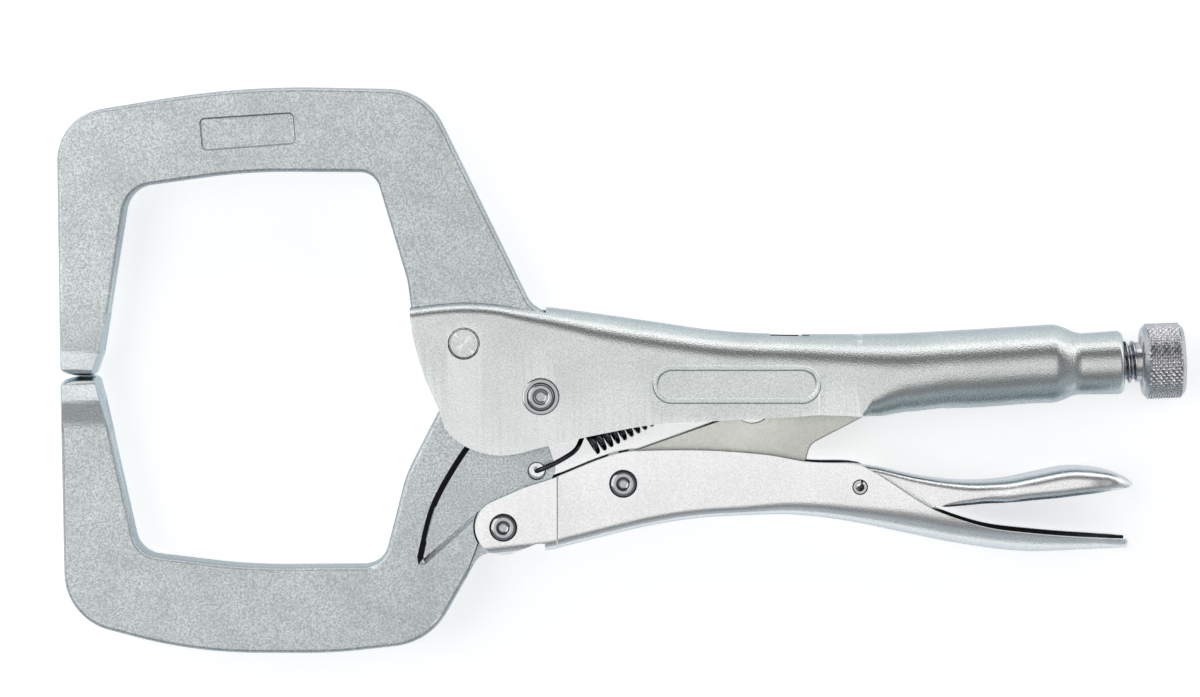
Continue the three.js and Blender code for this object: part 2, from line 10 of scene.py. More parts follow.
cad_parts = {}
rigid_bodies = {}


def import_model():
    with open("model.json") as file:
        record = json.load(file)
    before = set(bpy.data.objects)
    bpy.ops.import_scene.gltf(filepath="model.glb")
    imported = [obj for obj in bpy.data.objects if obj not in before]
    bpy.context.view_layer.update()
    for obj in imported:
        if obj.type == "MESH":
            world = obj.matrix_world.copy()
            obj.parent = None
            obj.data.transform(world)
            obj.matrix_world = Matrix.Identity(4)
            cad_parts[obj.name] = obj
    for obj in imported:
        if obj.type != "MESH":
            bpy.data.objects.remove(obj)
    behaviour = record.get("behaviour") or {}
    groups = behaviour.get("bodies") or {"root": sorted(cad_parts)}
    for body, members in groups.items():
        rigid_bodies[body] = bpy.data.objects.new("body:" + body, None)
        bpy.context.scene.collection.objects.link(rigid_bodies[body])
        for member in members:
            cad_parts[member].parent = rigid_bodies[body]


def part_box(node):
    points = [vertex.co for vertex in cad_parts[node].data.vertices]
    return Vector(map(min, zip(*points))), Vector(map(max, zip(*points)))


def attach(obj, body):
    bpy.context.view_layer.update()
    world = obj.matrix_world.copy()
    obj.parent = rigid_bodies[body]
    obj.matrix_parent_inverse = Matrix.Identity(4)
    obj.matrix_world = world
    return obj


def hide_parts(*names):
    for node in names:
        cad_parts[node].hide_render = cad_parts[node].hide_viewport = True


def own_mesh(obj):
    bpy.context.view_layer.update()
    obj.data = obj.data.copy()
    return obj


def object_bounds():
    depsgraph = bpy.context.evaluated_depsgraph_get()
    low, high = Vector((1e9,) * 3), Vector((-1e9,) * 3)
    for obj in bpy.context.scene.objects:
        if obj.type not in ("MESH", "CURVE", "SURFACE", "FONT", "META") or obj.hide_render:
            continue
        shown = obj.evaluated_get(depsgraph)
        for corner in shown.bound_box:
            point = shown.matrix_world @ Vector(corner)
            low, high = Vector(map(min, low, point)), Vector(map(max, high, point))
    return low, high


for leftover in list(bpy.data.objects):
    bpy.data.objects.remove(leftover)
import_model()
CAD_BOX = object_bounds()
MM = 0.001


def centre(node):
    """Middle of a CAD node at rest, in metres."""
    low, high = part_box(node)
    return (low + high) / 2


# Every piece is drawn in millimetres about the main pivot, on the clamp's middle plane.
PIVOT = centre("main_pivot_rivet")


def local(node):
    """Middle of a CAD node, in millimetres about the main pivot."""
    return (centre(node) - PIVOT) / MM


FRONT = local("front_rivet")
LINK = local("link_rivet")
RELEASE = local("release_pin")
JAW_RIVET = local("fixed_jaw_rivet")

# ---- driving dimensions, in millimetres ----
ARM_HALF = 5.3
RECESS_HALF = 3.7
PAD_HALF = 7.5
SHEET = 2.1
LEVER_SHEET = 1.7
HANDLE_HALF = 7.7
TUBE_HALF = 9.85
EAR_HALF = 6.1
WAIST_HALF = 5.2
LINK_HALF = 2.7
HUB_RADIUS = 12.5
EAR_RADIUS = 7.0
LUG_RADIUS = 6.75
ARM_EDGE = 1.0
ARM_CROWN = 0.18
ARM_PLAY = 0.3
PANEL_DEPTH = 0.6
LINK_SLIM = 0.7
LINK_PLAY = 0.5
MAIN_HOLE = 4.1
JAW_RIVET_SEAT = 4.05
JAW_RIVET_HOLE = 4.0
RIVET_HOLE = 2.7
PIN_HOLE = 1.95
THROUGH = 20  # half the length of a cutter that goes right through the clamp
SPRING_HOLE = Vector((-1.1, -18.9, 0))
SPRING_ANCHOR = Vector((58.4, 11.1, 0))
SCREW_TILT = math.radians(2.2)
SCREW_FOOT = Vector((139.9, 7.85, 0))
PITCH = 1.814


# ---- mesh helpers ----
def piece_from(name, points, faces):
    """An object from points in millimetres about the main pivot."""
    mesh = bpy.data.meshes.new(name)
    mesh.from_pydata([PIVOT + Vector(p) * MM for p in points], [], faces)
    mesh.validate()
    shell = bmesh.new()
    shell.from_mesh(mesh)
    bmesh.ops.remove_doubles(shell, verts=shell.verts, dist=1e-7)
    bmesh.ops.recalc_face_normals(shell, faces=shell.faces)
    shell.to_mesh(mesh)
    shell.free()
    made = bpy.data.objects.new(name, mesh)
    bpy.context.scene.collection.objects.link(made)
    return made


def bake(piece):
    """Replaces the piece's mesh by what its modifiers make of it."""
    graph = bpy.context.evaluated_depsgraph_get()
    mesh = bpy.data.meshes.new_from_object(piece.evaluated_get(graph))
    piece.modifiers.clear()
    old = piece.data
    piece.data = mesh
    bpy.data.meshes.remove(old)
    return piece


def combine(piece, other, operation):
    """Merges another piece into this one by a boolean, and removes the other."""
    step = piece.modifiers.new("combine", "BOOLEAN")
    step.operation = operation
    step.solver = "MANIFOLD"
    step.object = other
    bake(piece)
    mesh = other.data
    bpy.data.objects.remove(other)
    bpy.data.meshes.remove(mesh)
    return piece


def cut(piece, *tools):
    for tool in tools:
        combine(piece, tool, "DIFFERENCE")
    return piece


def add(piece, *tools):
    for tool in tools:
        combine(piece, tool, "UNION")
    return piece


def meet(piece, tool):
    return combine(piece, tool, "INTERSECT")


def rings(name, layers):
    """A closed skin over rings of the same number of points, with a flat face on each end."""
    count = len(layers[0])
    points = [p for ring in layers for p in ring]
    faces = []
    for s in range(len(layers) - 1):
        for k in range(count):
            a, b = s * count + k, s * count + (k + 1) % count
            faces.append((a, b, b + count, a + count))
    faces.append(tuple(range(count)))
    faces.append(tuple((len(layers) - 1) * count + k for k in reversed(range(count))))
    return piece_from(name, points, faces)


def outline(corners, chord=0.006):
    """Points of a polygon whose corners (x, y, radius) are filleted."""
    points = []
    for i, (x, y, radius) in enumerate(corners):
        corner = Vector((x, y))
        if not radius:
            points.append(corner)
            continue
        back = (Vector(corners[i - 1][:2]) - corner).normalized()
        ahead = (Vector(corners[(i + 1) % len(corners)][:2]) - corner).normalized()
        half = math.acos(max(-1, min(1, back.dot(ahead)))) / 2
        middle = corner + (back + ahead).normalized() * (radius / math.sin(half))
        first = corner + back * (radius / math.tan(half)) - middle
        turn = math.pi - 2 * half
        way = 1 if back.x * ahead.y - back.y * ahead.x < 0 else -1
        count = max(3, math.ceil(turn / (2 * math.acos(1 - chord / max(radius, 0.2)))))
        for k in range(count + 1):
            angle = way * turn * k / count
            c, s = math.cos(angle), math.sin(angle)
            points.append(middle + Vector((c * first.x - s * first.y, s * first.x + c * first.y)))
    return [p for i, p in enumerate(points) if (p - points[i - 1]).length > 0.02]


def smooth(points, count):
    """Points on a smooth curve through a few chosen ones."""
    points = [Vector(p) for p in points]
    last = len(points) - 1
    made = []
    for k in range(count + 1):
        spot = last * k / count
        i = min(int(spot), last - 1)
        t = spot - i
        p0, p1, p2, p3 = points[max(i - 1, 0)], points[i], points[i + 1], points[min(i + 2, last)]
        v0, v1 = (p2 - p0) / 2, (p3 - p1) / 2
        cubic, square = 2 * p1 - 2 * p2 + v0 + v1, 3 * p2 - 3 * p1 - 2 * v0 - v1
        made.append(cubic * t ** 3 + square * t ** 2 + v0 * t + p1)
    return made


def inset(points, amount):
    """The outline moved in by amount; points run either way round."""
    area = sum(a.x * b.y - b.x * a.y for a, b in zip(points, points[1:] + points[:1]))
    side = 1 if area > 0 else -1
    moved = []
    for i, p in enumerate(points):
        into = (p - points[i - 1]).normalized()
        out = (points[(i + 1) % len(points)] - p).normalized()
        normal = Vector((-(into.y + out.y), into.x + out.x)) * side
        if normal.length < 1e-6:
            moved.append(p.copy())
            continue
        normal.normalize()
        share = max(0.5, abs(Vector((-into.y, into.x)).dot(normal)))
        moved.append(p + normal * (amount / share))
    return moved


def edge_layers(points, half, radius, lean=0.0, steps=5):
    """Rings of a plate with rounded edges, widest on its middle plane."""
    profile = [(half - radius + radius * math.sin(a), lean + radius * (1 - math.cos(a)))
               for a in (math.pi / 2 * k / steps for k in range(steps + 1))]
    heights = [(-z, d) for z, d in reversed(profile)] + [(0, 0)] + profile
    return [[(p.x, p.y, z) for p in inset(points, d)] if d else [(p.x, p.y, z) for p in points]
            for z, d in heights]


def plate(name, points, half, z=0.0):
    return rings(name, [[(p.x, p.y, z + side * half) for p in points] for side in (-1, 1)])


def rounded_plate(name, points, half, radius, lean=0.0):
    return rings(name, edge_layers(points, half, radius, lean))


def turned(name, profile, x, y, segments=64):
    """Turned about a line along Z: profile is (radius, z) from one end to the other."""
    angles = [2 * math.pi * k / segments for k in range(segments)]
    return rings(name, [[(x + radius * math.cos(a), y + radius * math.sin(a), z) for a in angles]
                        for radius, z in profile])


def both_ends(half):
    """A whole turned profile from the half of it above the middle plane."""
    return [(r, -z) for r, z in reversed(half)] + half


def drill(name, spot, radius):
    """A cutter for a round hole that goes right through at a spot."""
    return turned(name, [(radius, -THROUGH), (radius, THROUGH)], spot.x, spot.y)


def mirrored(piece):
    """The piece on the other side of the clamp's middle plane."""
    for vertex in piece.data.vertices:
        vertex.co.z = 2 * PIVOT.z - vertex.co.z
    piece.data.flip_normals()
    return piece


def on_screw(x, y, z):
    """A point given along, above and beside the screw's axis."""
    c, s = math.cos(SCREW_TILT), math.sin(SCREW_TILT)
    run = x - SCREW_FOOT.x
    return (SCREW_FOOT.x + run * c - y * s, SCREW_FOOT.y + run * s + y * c, z)


def screw_ring(x, radii):
    """A ring about the screw's axis, with one point for each of the radii."""
    angles = [2 * math.pi * k / len(radii) for k in range(len(radii))]
    return [on_screw(x, r * math.cos(a), r * math.sin(a)) for r, a in zip(radii, angles)]


def turned_on_screw(name, profile, segments=72):
    return rings(name, [screw_ring(x, [radius] * segments) for radius, x in profile])


def block(name, low, high):
    corners = [(low[0], low[1]), (high[0], low[1]), (high[0], high[1]), (low[0], high[1])]
    half = (high[2] - low[2]) / 2
    return plate(name, [Vector(c) for c in corners], half, low[2] + half)


def along(pairs, x, ease=False):
    """A value that follows a few (x, value) pairs in straight steps, or smoothly with ease."""
    if x <= pairs[0][0]:
        return pairs[0][1]
    for (x0, v0), (x1, v1) in zip(pairs, pairs[1:]):
        if x <= x1:
            t = (x - x0) / (x1 - x0)
            return v0 + (v1 - v0) * (t * t * (3 - 2 * t) if ease else t)
    return pairs[-1][1]


def section(top, bottom, half, crown, foot, steps=14):
    """One closed (y, z) ring: a rectangle with rounded top and bottom corners."""
    limit_y, limit_z = (top - bottom) / 2 - 0.02, half - 0.02
    ring = []
    quarters = ((1, 1, crown, 0), (1, -1, crown, 0.5), (-1, -1, foot, 1), (-1, 1, foot, 1.5))
    for sy, sz, corner, start in quarters:
        ry, rz = min(corner, limit_y), min(corner, limit_z)
        for k in range(steps + 1):
            angle = math.pi * (start + 0.5 * k / steps)
            ring.append(((top if sy > 0 else bottom) + ry * (math.sin(angle) - sy),
                         sz * half + rz * (math.cos(angle) - sz)))
    return ring


def loft(name, sections):
    return rings(name, [[(x, y, z) for y, z in ring] for x, ring in sections])


def spread(stops, step):
    """The stops with more places between them, no further apart than step."""
    made = [stops[0]]
    for a, b in zip(stops, stops[1:]):
        count = max(1, math.ceil((b - a) / step))
        made += [a + (b - a) * k / count for k in range(1, count + 1)]
    return made


def tube(name, path, radius, sides=10):
    """A round wire along a path of points, with a flat end on each side."""
    path = [Vector(p) for p in path]
    tangent = (path[1] - path[0]).normalized()
    across = tangent.orthogonal().normalized()
    layers = []
    for i, p in enumerate(path):
        ahead = path[min(i + 1, len(path) - 1)] - path[max(i - 1, 0)]
        tangent = ahead.normalized()
        across = (across - tangent * across.dot(tangent)).normalized()
        beside = tangent.cross(across)
        layers.append([p + (across * math.cos(2 * math.pi * k / sides)
                            + beside * math.sin(2 * math.pi * k / sides)) * radius for k in range(sides)])
    return rings(name, [[tuple(q) for q in ring] for ring in layers])


def finished(piece, material, body, nodes, crease=32):
    """Gives a piece its normals, its material and its place among the bodies."""
    mesh = piece.data
    mesh.polygons.foreach_set("use_smooth", [True] * len(mesh.polygons))
    mesh.set_sharp_from_angle(angle=math.radians(crease))
    mesh.materials.clear()
    mesh.materials.append(material)
    even = piece.modifiers.new("even_normals", "WEIGHTED_NORMAL")
    even.keep_sharp = True
    even.weight = 80
    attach(piece, body)
    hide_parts(*nodes)


def paint_shade_on(piece, material, chosen):
    """Paints shade: gives the faces that chosen() picks a second material, the near-black steel that stands
    in for shade.
    """
    piece.data.materials.append(material)
    for face in piece.data.polygons:
        if chosen(face):
            face.material_index = 1


def walled_in(piece, reach=24, lift=0.05):
    """Picks faces that look straight at their own piece, such as the inside of a channel; these get painted
    shade.
    """
    mesh = piece.data
    tree = BVHTree.FromPolygons([v.co for v in mesh.vertices], [face.vertices for face in mesh.polygons])

    def sees_wall(face):
        start = face.center + face.normal * lift * MM
        return tree.ray_cast(start, face.normal, reach * MM)[0] is not None

    return sees_wall


# ---- materials ----
PAINTED_SIDE_SHADE = (0.50, 0.59, 0.65)  # painted reflection: faces turned away from the clamp's broad sides are darkened grey-blue
CLOUD_SIZE = 14  # millimetres


def steel(name, colour, dark, rough, rough_spread, grain, depth, speckle):
    """Steel whose grain and relief depth are in millimetres; speckle lifts its spots from dark to colour."""
    material = bpy.data.materials.new(name)
    material.use_nodes = True
    nodes, links = material.node_tree.nodes, material.node_tree.links
    shader = nodes["Principled BSDF"]
    shader.inputs["Metallic"].default_value = 1
    place = nodes.new("ShaderNodeTexCoord")

    def noise(size, detail=3.0):
        made = nodes.new("ShaderNodeTexNoise")
        made.inputs["Scale"].default_value = 1 / (size * MM)
        made.inputs["Detail"].default_value = detail
        made.inputs["Roughness"].default_value = 0.6
        links.new(place.outputs["Object"], made.inputs["Vector"])
        return made.outputs["Fac"]

    def ramp(source, low, high, first, last):
        made = nodes.new("ShaderNodeMapRange")
        made.inputs["From Min"].default_value = low
        made.inputs["From Max"].default_value = high
        made.inputs["To Min"].default_value = first
        made.inputs["To Max"].default_value = last
        links.new(source, made.inputs["Value"])
        return made.outputs["Result"]

    def mixed(share, a, b, way="MIX"):
        made = nodes.new("ShaderNodeMix")  # its colour sockets are 6, 7 and, coming out, 2
        made.data_type = "RGBA"
        made.blend_type = way
        links.new(share, made.inputs["Factor"])
        for socket, value in ((made.inputs[6], a), (made.inputs[7], b)):
            if isinstance(value, tuple):
                socket.default_value = (*value, 1)
            else:
                links.new(value, socket)
        return made.outputs[2]

    def maths(operation, *sources):
        made = nodes.new("ShaderNodeMath")
        made.operation = operation
        for source, socket in zip(sources, made.inputs):
            links.new(source, socket)
        return made.outputs["Value"]

    fine, broad = noise(grain), noise(CLOUD_SIZE, 2)
    spot = tuple(c * speckle + d * (1 - speckle) for c, d in zip(colour, dark))
    speckled = mixed(ramp(fine, 0.38, 0.62, 0, 1), spot, colour)
    clouded = mixed(ramp(broad, 0.35, 0.7, 0, 0.35), speckled, dark)
    geometry = nodes.new("ShaderNodeNewGeometry")
    # Edge wear and painted highlight: sharp convex edges are painted lighter, and further down made less
    # rough.
    edge_wear_and_highlight = ramp(geometry.outputs["Pointiness"], 0.53, 0.62, 0, 0.7)
    edged = mixed(edge_wear_and_highlight, clouded, tuple(min(1, c * 1.25) for c in colour))
    split = nodes.new("ShaderNodeSeparateXYZ")
    links.new(place.outputs["Normal"], split.inputs[0])
    # Painted reflection: the more a face turns away from the clamp's broad sides, the more the grey-blue side
    # tint darkens it.
    aside = ramp(maths("ABSOLUTE", split.outputs["Z"]), 0.3, 0.88, 1, 0)
    links.new(mixed(aside, edged, PAINTED_SIDE_SHADE, "MULTIPLY"), shader.inputs["Base Color"])
    grainy = ramp(fine, 0.3, 0.7, rough + rough_spread, rough - rough_spread)
    links.new(maths("MULTIPLY", grainy, ramp(edge_wear_and_highlight, 0, 0.7, 1, 0.7)), shader.inputs["Roughness"])
    bump = nodes.new("ShaderNodeBump")
    bump.inputs["Strength"].default_value = 1
    bump.inputs["Distance"].default_value = depth * MM
    links.new(fine, bump.inputs["Height"])
    links.new(bump.outputs["Normal"], shader.inputs["Normal"])
    return material


FORGED = steel("forged_steel", (0.76, 0.80, 0.80), (0.40, 0.425, 0.425), 0.38, 0.08, 0.45, 0.09, 0.25)
PRESSED = steel("pressed_steel", (0.79, 0.82, 0.80), (0.50, 0.52, 0.51), 0.25, 0.06, 0.42, 0.065, 0.4)
PLATED = steel("plated_steel", (0.99, 0.985, 0.975), (0.80, 0.80, 0.79), 0.24, 0.06, 0.45, 0.06, 0.35)
STAMPED = steel("link_steel", (0.74, 0.75, 0.69), (0.55, 0.55, 0.51), 0.38, 0.06, 0.4, 0.03, 0.5)
BRIGHT = steel("bright_rivet", (0.52, 0.53, 0.54), (0.34, 0.34, 0.35), 0.08, 0.03, 1.2, 0.01, 0.9)
PIN = steel("pin_steel", (0.62, 0.62, 0.61), (0.40, 0.40, 0.40), 0.30, 0.08, 0.5, 0.02, 0.6)
SCREW = steel("screw_steel", (0.68, 0.66, 0.67), (0.27, 0.26, 0.26), 0.22, 0.06, 0.5, 0.02, 0.7)
# Near-black, dull steel: painted shade and painted dark reflection on hollows, channel insides and rivet
# rings.
PAINTED_SHADE = steel("painted_shade_steel", (0.045, 0.04, 0.045), (0.02, 0.02, 0.02), 0.55, 0.05, 0.5, 0.02, 0.6)
SPRING = steel("spring_steel", (0.075, 0.075, 0.085), (0.03, 0.03, 0.035), 0.22, 0.06, 0.8, 0.01, 0.7)


# ---- forged jaws ----
def flared_tip(name, points, pad_end, flare_end, way):
    """The arm's end, whose side faces flare out to the pad and fold in again at its very end."""
    rise = [(0, PAD_HALF - 1.9), (0.9, PAD_HALF - 0.5), (1.8, PAD_HALF), (5.6, PAD_HALF),
            (6.6, PAD_HALF - 0.3)]
    profile = [(pad_end + run * way, z) for run, z in rise] + [(flare_end, ARM_HALF - 0.2)]
    ring = profile + [(y, -z) for y, z in reversed(profile)]
    wedge = rings(name, [[(x, y, z) for y, z in ring] for x in (-125, -104)])
    depths = [(-9, 1.2), (-6, 0.5), (-3, 0), (3, 0), (6, 0.5), (9, 1.2)]
    return meet(wedge, rings(name + "_side", [[(p.x, p.y, z) for p in inset(points, d)] for z, d in depths]))


def fixed_jaw():
    tang = HUB_RADIUS + 0.7
    points = outline([
        (-119.9, 5.9, 1.5), (-116.3, 4.95, 3), (-111.2, 4.95, 1.5), (-109.2, 10.5, 8), (-102.5, 51.6, 7.5),
        (-73.2, 55.7, 150), (-41.3, 55.5, 5), (-33.3, 28.5, 20), (-31.9, 17.0, 20), (-26.1, -2.9, 2),
        (-4.45, tang, tang), (8, tang, 0), (8, 15.4, 0), (0.9, 17.2, 0), (0.9, 20.7, 0), (-2.6, 23.0, 5),
        (-28.6, 76.15, 15.3), (-74.5, 77.05, 220), (-120.35, 69.6, 13),
    ])
    made = rounded_plate("fixed_jaw_forging", points, ARM_HALF, ARM_EDGE, ARM_CROWN)
    add(made, flared_tip("fixed_jaw_tip", points, 4.95, 20.4, 1))
    panel = outline([(-84.6, 68.9, 1.2), (-61.5, 70.4, 1.2), (-60.9, 62.8, 1.2), (-83.9, 61.1, 1.2)])
    floor, rim = ARM_HALF - PANEL_DEPTH, ARM_HALF + 0.4
    depths = [(floor, 0.35), (floor + 0.1, 0.12), (rim, -0.45)]
    cut(made, rings("panel", [[(p.x, p.y, z) for p in inset(panel, d)] for z, d in depths]),
        drill("rivet_seat", JAW_RIVET, JAW_RIVET_SEAT))
    finished(made, FORGED, "frame", ["fixed_jaw"])


RECESS_WALL = smooth([(-15.6, -8.2), (-21.3, -15.9), (-27.6, -27.4), (-30.9, -40.2)], 24)


def on_recess_wall(face, reach=1.6, clear=0.02):
    """Painted shade: the curved wall of the hollow gets the near-black, dull steel that stands in for its
    shadow.
    """
    x, y, z = ((a - b) / MM for a, b in zip(face.center, PIVOT))
    near = min((Vector((x, y)) - p.xy).length for p in RECESS_WALL)
    return near < reach and RECESS_HALF + clear < abs(z) < ARM_HALF - clear


def jaw_recess(side):
    """The hollow in one side of the moving jaw, with a sloping wall where it meets the arm."""
    far = ARM_HALF + 2.5
    hollow = RECESS_WALL + outline([(-30.6, -42.2, 0), (-28.9, -42.2, 0), (-15.6, -30.2, 0),
                                    (12, -30.2, 0), (12, -8.2, 0)])
    sweep = outline([(-9.4, -35.8, 0), (-15.8, -36.6, 0), (-19.2, -45.5, 0), (-19.2, -52, 0), (12, -52, 0),
                     (12, -26, 0), (-9.4, -26, 0)])
    tools = []
    for name, ring, slope in (("hollow", hollow, 1.5), ("sweep", sweep, 0.4)):
        layers = [(RECESS_HALF, slope), (RECESS_HALF + 0.12, slope * 0.8), (ARM_HALF - 0.15, 0.1),
                  (ARM_HALF, 0.0), (far, -0.2)]
        tools.append(rings(name, [[(p.x, p.y, side * z) for p in inset(ring, d)] for z, d in layers]))
    seat = turned("ear_seat", [(EAR_RADIUS + 0.2, RECESS_HALF), (EAR_RADIUS + 0.5, RECESS_HALF + 0.4),
                               (EAR_RADIUS + 0.6, far)], FRONT.x, FRONT.y, 96)
    return tools + [seat if side > 0 else mirrored(seat)]


def moving_jaw():
    foot = FRONT.y - LUG_RADIUS
    points = outline([
        (-119.9, 3.6, 2), (-119.1, -56, 15), (-86.4, -64.6, 120), (-52, -64.7, 120), (-27.8, -62, 17),
        (-15.1, foot, 5), (-3.0, foot, 6), (-2.4, -31, 3), (3.8, -18.8, 3), (1.5, -11.8, 0), (-1, -2, 0),
        (-7.4, 9.5, 0), (-25.4, -3.6, 3), (-33.8, -20, 30), (-39.6, -42.7, 6.5), (-73, -42.9, 150),
        (-100.5, -39.6, 6.5), (-108.9, -1, 12), (-110.4, 4.65, 1.5), (-115.5, 4.65, 3),
    ][::-1])
    made = rounded_plate("moving_jaw_forging", points, ARM_HALF, ARM_EDGE, ARM_CROWN)
    hub = [(HUB_RADIUS, ARM_HALF - 1), (HUB_RADIUS - 0.2, ARM_HALF - 0.3), (HUB_RADIUS - 1, ARM_HALF)]
    add(made, turned("hub", both_ends(hub), 0, 0, 96),
        flared_tip("moving_jaw_tip", points, 4.65, -9.2, -1))
    countersunk = [(2.0, RECESS_HALF - 0.3), (2.6, RECESS_HALF + 0.3)]
    cut(made, *jaw_recess(1), *jaw_recess(-1), drill("main_hole", Vector(), MAIN_HOLE),
        drill("front_hole", FRONT, RIVET_HOLE),
        turned("spring_hole", both_ends(countersunk), SPRING_HOLE.x, SPRING_HOLE.y, 48))
    finished(made, FORGED, "moving_jaw", ["moving_jaw"])
    # Painted shade on the hollow's curved wall.
    paint_shade_on(made, PAINTED_SHADE, on_recess_wall)


# ---- upper handle ----
ROOF = smooth([(-36, 21.9), (-19, 23.6), (-4, 22.3), (8, 21.1), (26, 18.6), (44, 16.1), (60, 15.3),
               (86, 15.3), (104, 16.15), (127.7, 17.6)], 120)
TUBE_FLOOR = [(79, -4.9), (84.5, -5.2), (91, -4.4), (104, -3.4), (127.7, -2.1)]
HANDLE_WIDTH = [(-36, HANDLE_HALF), (58, HANDLE_HALF), (90, TUBE_HALF)]
ROOF_CORNER = [(-36, 3.4), (-10, 3.6), (14, 7.2), (24, 7.7), (58, 7.7), (90, 9.9)]
TUBE_FOOT = [(79, 0.3), (80.2, 0.8), (82.2, 5.0), (86, 7.4), (91, 8.8), (104, 9.9)]
CONE = [(127.7, 0), (128.6, 0.12), (130.7, 0.8), (132.6, 1.7), (133.6, 2.0), (134.4, 2.1)]
MOUTH_X = 79.8
ROOF_FRONT_X = 1.2
CHEEK_FLOOR = -30
COLLAR_BORE = 5.75


def handle_sections(places, skin, floor=None):
    """Sections in by a skin's thickness: the tube's own, or an open channel's that ends at a floor."""
    made = []
    for x in places:
        neck = along(CONE, x)
        top = along(ROOF, x) - skin - neck
        bottom = along(TUBE_FLOOR, x, True) + skin + neck if floor is None else floor
        crown = max(0.5, along(ROOF_CORNER, x) - skin)
        foot = max(0.3, along(TUBE_FOOT, x) - skin) if floor is None else 0.1
        made.append((x, section(top, bottom, along(HANDLE_WIDTH, x, True) - skin - neck, crown, foot)))
    return made


def bead(name, x, y, length, height):
    """A low raised stadium ring that frames a blank field on the cheek and follows its flare."""
    radius, width, rise, steps = height / 2, 0.75, 0.42, 24
    straight = length / 2 - radius
    path = []
    for side, start in ((1, -90), (-1, 90)):
        middle = x + side * straight
        for k in range(steps + 1):
            angle = math.radians(start + 180 * k / steps)
            path.append(Vector((middle + radius * math.cos(angle), y + radius * math.sin(angle))))
        path += [Vector((middle - side * 2 * k, y + side * radius)) for k in range(1, int(straight))]
    layers = []
    for offset, z in ((-width, -0.3), (-width, 0.0), (-width * 0.55, rise * 0.8), (0, rise),
                      (width * 0.55, rise * 0.8), (width, 0.0), (width, -0.3)):
        layers.append([(p.x, p.y, along(HANDLE_WIDTH, p.x, True) + z) for p in inset(path, -offset)])
    count = len(path)
    points = [p for ring in layers for p in ring]
    faces = []
    for s in range(len(layers)):
        for k in range(count):
            a, b = s * count + k, s * count + (k + 1) % count
            t = ((s + 1) % len(layers)) * count
            faces.append((a, b, t + (k + 1) % count, t + k))
    return piece_from(name, points, faces)


def upper_handle():
    front = spread([-36, -26, -18, -10, -4, 2, 8, 14, 20, 28, 44, 60, 74, MOUTH_X + 0.2], 2.5)
    rear = spread([MOUTH_X, 81, 82.2, 84, 86, 88.5, 91, 95, 104, 127.7, 128.6, 130.7, 132.6, 133.6,
                   134.4], 2.5)
    side = smooth([(-32.6, 21.5), (-31.8, 15.1), (-29, 5.1), (-25.6, -2.6), (-23.6, -8.2), (-18.8, -12.4),
                   (-12.4, -14.5), (-6.5, -14.4), (1.4, -12.4), (14.7, -9.4), (28.9, -6.9), (43.4, -6.1),
                   (62.4, -5.1), (70, -4.6), (82, -5.0)], 140) + [Vector((82, 40)), Vector((-32.6, 40))]
    made = loft("upper_handle_shell", handle_sections(front, 0, CHEEK_FLOOR))
    meet(made, plate("cheeks", side, THROUGH))
    collar = [(7.6, 132.6), (7.95, 144.0), (7.75, 144.7), (7.2, 145.2)]
    add(made, loft("tube", handle_sections(rear, 0)), turned_on_screw("collar", collar))
    hollow = spread([ROOF_FRONT_X - 0.2, 8, 14, 20, 28, 44, 60, 74, MOUTH_X], 3)
    tube_hollow = spread([MOUTH_X - 0.2, 81, 82.2, 84, 86, 88.5, 91, 95, 104, 127, 130, 132], 3)
    gap, link_gap = ARM_HALF + ARM_PLAY, LINK_HALF + LINK_PLAY
    cut(made, loft("channel", handle_sections(hollow, SHEET, CHEEK_FLOOR)),
        loft("tube_hollow", handle_sections(tube_hollow, SHEET)),
        block("jaw_slot", (-60, -60, -gap), (ROOF_FRONT_X, 60, gap)),
        block("link_slot", (70, -12, -link_gap), (101, 1, link_gap)),
        turned_on_screw("bore", [(COLLAR_BORE, 125), (COLLAR_BORE, 150)]),
        block("roof_slot", (57.2, 8, -2.6), (65.5, 20, 2.6)))
    tongue = outline([(67, 15.0, 0), (64.4, 15.0, 2.2), (60.2, 8.4, 0.6), (62.0, 7.4, 0.6), (65.6, 12.9, 2),
                      (67, 12.9, 0)])
    field = (48.7, 3.0, 40.5, 8.2)
    add(made, plate("tongue", tongue, 2.3), bead("bead", *field), mirrored(bead("bead", *field)))
    cut(made, drill("main_hole", Vector(), MAIN_HOLE), drill("jaw_hole", JAW_RIVET, JAW_RIVET_HOLE))
    finished(made, PRESSED, "frame", ["upper_handle"])
    # Painted shade on the faces inside the channel and tube.
    paint_shade_on(made, PAINTED_SHADE, walled_in(made))


# ---- lower handle ----
PALM = smooth([(-18, -41), (0.9, -38.9), (4.7, -38.2), (16.7, -35.15), (28.7, -32.4), (40.7, -30.7),
               (55.7, -30.0), (64.7, -30.15), (76.7, -31.65), (94.7, -35.4), (106.7, -37.65), (121, -39.2),
               (136.7, -38.5), (146.4, -38.0)], 140)
PALM_WIDTH = [(-18, EAR_HALF), (3.9, EAR_HALF), (4.25, EAR_HALF - 0.55), (9, WAIST_HALF), (58, WAIST_HALF),
              (80, 6.3), (100, 8.3), (120, 9.4), (136, 9.0), (142, 8.0), (145.5, 6.4), (146.4, 5.4)]
PALM_FOOT = [(-18, 3), (50, 3.0), (76, 5), (95, 7.5), (120, 8.6), (140, 5), (146.4, 2)]
WEB_FRONT_X = 1.0
WALL_TOP = -5


def in_floor_corner(face, slant=0.1):
    """Faces that look up and aside, such as the rounded corners of the channel's floor."""
    return face.normal.y > slant and abs(face.normal.z) > slant


def palm_sections(places, skin, top):
    return [(x, section(top, along(PALM, x) + skin, along(PALM_WIDTH, x, True) - skin, 0.1,
                        max(0.4, along(PALM_FOOT, x) - skin))) for x in places]


